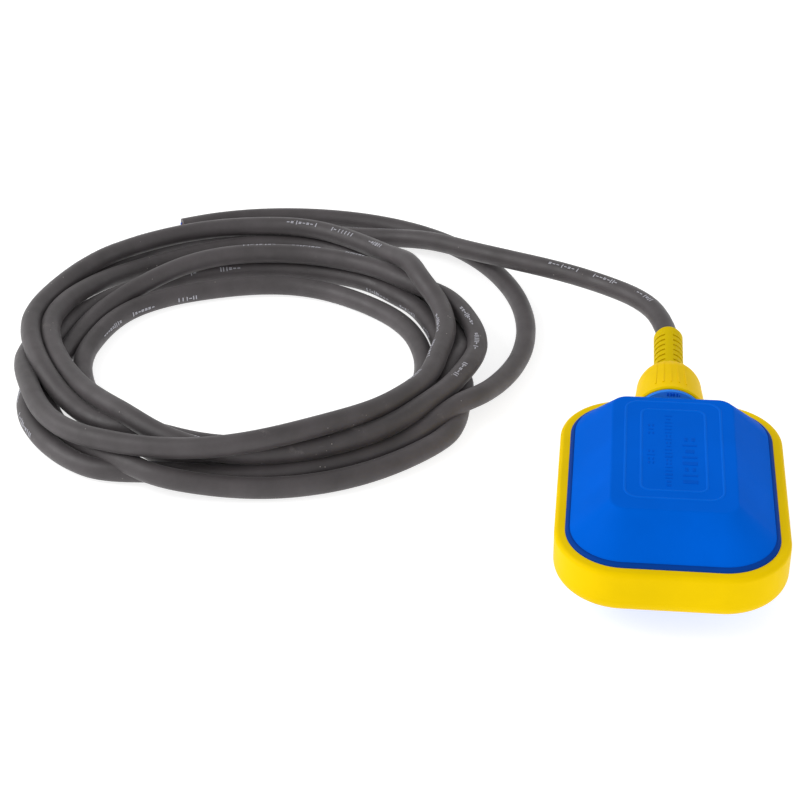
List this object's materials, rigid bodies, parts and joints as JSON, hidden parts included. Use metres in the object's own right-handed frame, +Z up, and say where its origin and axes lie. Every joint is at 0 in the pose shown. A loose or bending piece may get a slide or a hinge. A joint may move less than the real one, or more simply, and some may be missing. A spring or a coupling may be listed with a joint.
{
  "type": "cable float switch",
  "caption": "Tilt-operated cable float switch: flat sealed float with a soft edge band, a domed gland and a loosely coiled rubber cable.",
  "frame": {"origin": "on the flat face that the float rests on, below the middle of its edge band", "axes": "+Z up, +Y out along the cable gland, +X to the right, the coil lies to the left at -X"},
  "size_m": [0.3135, 0.2896, 0.0415],
  "materials": {
    "blue_shell": "satin moulded",
    "yellow_band": "soft satin moulded",
    "blue_neck": "satin moulded",
    "yellow_nut": "satin moulded",
    "yellow_sleeve": "soft matte",
    "cable_rubber": "matte",
    "seal_rubber": "matte",
    "capsule_grey": "matte",
    "track_white": "matte",
    "switch_black": "matte",
    "plunger_red": "matte",
    "bright_steel": "polished",
    "contact_brass": "bright",
    "core_brown": "matte",
    "core_blue": "matte",
    "core_black": "matte"
  },
  "bodies": {
    "float": {"upper_shell": "blue_shell", "lower_shell": "blue_shell", "edge_band": "yellow_band", "gland_spigot": "blue_neck", "gland_nut": "yellow_nut", "strain_relief": "yellow_sleeve", "gland_seal": "seal_rubber", "gland_washer": "track_white", "cable_entry": "cable_rubber", "cable_clamp": "track_white", "clamp_screws": "bright_steel", "core_closed": "core_black", "core_open": "core_blue", "core_common": "core_brown", "capsule_base": "capsule_grey", "capsule_gasket": "seal_rubber", "capsule_lid": "capsule_grey", "lid_screws": "bright_steel", "ball_track": "track_white", "ball_bumper": "seal_rubber", "lever_pin": "bright_steel", "switch_case": "switch_black", "switch_cover": "switch_black", "contact_blade": "contact_brass", "switch_screws": "bright_steel", "crimp_connectors": "contact_brass", "terminal_closed": "contact_brass", "terminal_open": "contact_brass", "terminal_common": "contact_brass", "cable_lead": "cable_rubber", "cable_coil": "cable_rubber"},
    "ball": {"steel_ball": "bright_steel"},
    "lever": {"rocker_lever": "switch_black"},
    "plunger": {"switch_plunger": "plunger_red"}
  },
  "joints": [
    {"name": "ball_roll", "type": "slide", "parent": "float", "child": "ball", "axis": [0, 0.9986, 0.0523], "range_m": [0, 0.03]},
    {"name": "lever_turn", "type": "hinge", "parent": "float", "child": "lever", "pos_m": [-0.009, 0.01, 0.0145], "axis": [-1, 0, 0], "range_deg": [0, 7]},
    {"name": "plunger_push", "type": "slide", "parent": "float", "child": "plunger", "axis": [0, 0, -1], "range_m": [0, 0.0012], "stiffness_N_per_m": 50}
  ],
  "couplings": [
    {"joint": "lever_turn", "follows": "ball_roll", "rad_per_m": 4.07},
    {"joint": "plunger_push", "follows": "ball_roll", "ratio": 0.04}
  ]
}
